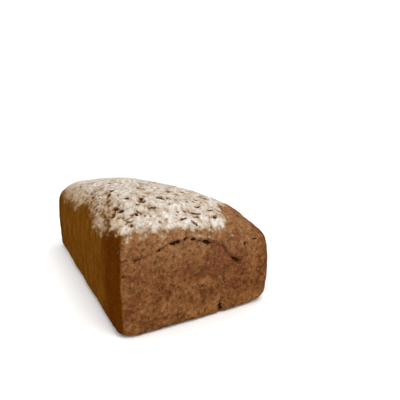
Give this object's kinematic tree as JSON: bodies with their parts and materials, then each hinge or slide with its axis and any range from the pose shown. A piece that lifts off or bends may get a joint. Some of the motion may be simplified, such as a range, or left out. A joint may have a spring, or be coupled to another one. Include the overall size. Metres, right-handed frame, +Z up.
{
  "type": "rye bread loaf",
  "caption": "Whole uncut dark rye bread baked in a tin: straight brown walls, a low domed top dusted with flour, and a torn crust at one end.",
  "frame": {"origin": "the middle of the loaf's flat bottom, which is the bottom centre of its box", "axes": "+X along the loaf's length towards the end with the torn crust, +Y across its width, +Z up"},
  "size_m": [0.2516, 0.1134, 0.083],
  "materials": {
    "crust": "matt dry baked crust with fine grain"
  },
  "bodies": {
    "root": {"loaf": "crust"}
  },
  "joints": []
}
